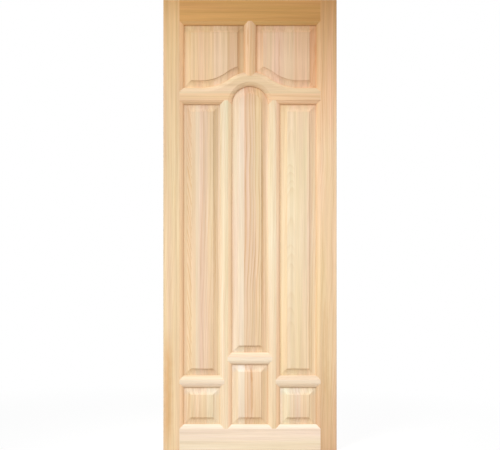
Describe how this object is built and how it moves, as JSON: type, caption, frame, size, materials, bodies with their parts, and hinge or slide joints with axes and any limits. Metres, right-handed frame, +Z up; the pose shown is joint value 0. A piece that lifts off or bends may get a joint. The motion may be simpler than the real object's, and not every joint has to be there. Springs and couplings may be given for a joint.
{
  "type": "panelled door leaf",
  "caption": "Unfinished softwood door leaf with raised panels, an arched middle rail with an ogee upper edge, mullions and stepped lower rails.",
  "frame": {"origin": "bottom of the hinge edge, at the middle of the leaf's thickness, on the outer face of the left stile", "axes": "+X across the leaf from the hinge edge to the lock edge, +Y from the front face to the back face, +Z up along the stiles"},
  "size_m": [0.762, 0.044, 1.981],
  "materials": {
    "stile_wood": "bare planed pine, honey tone",
    "top_rail_wood": "bare planed pine, orange heartwood",
    "arched_rail_wood": "bare planed pine, pinkish honey tone",
    "mullion_wood": "bare planed pine, pale yellow sapwood",
    "pale_rail_wood": "bare planed pine, cream sapwood",
    "panel_wood": "bare planed pine, glued from staves of mixed tone"
  },
  "bodies": {
    "root": {"left_stile": "stile_wood", "right_stile": "stile_wood", "top_rail": "top_rail_wood", "bottom_rail": "pale_rail_wood", "arched_rail": "arched_rail_wood", "top_mullion": "mullion_wood", "left_mullion": "mullion_wood", "right_mullion": "mullion_wood", "left_lower_rail": "pale_rail_wood", "centre_lower_rail": "pale_rail_wood", "right_lower_rail": "pale_rail_wood", "top_left_panel": "panel_wood", "top_right_panel": "panel_wood", "left_tall_panel": "panel_wood", "centre_tall_panel": "panel_wood", "right_tall_panel": "panel_wood", "bottom_left_panel": "panel_wood", "bottom_centre_panel": "panel_wood", "bottom_right_panel": "panel_wood"}
  },
  "joints": []
}
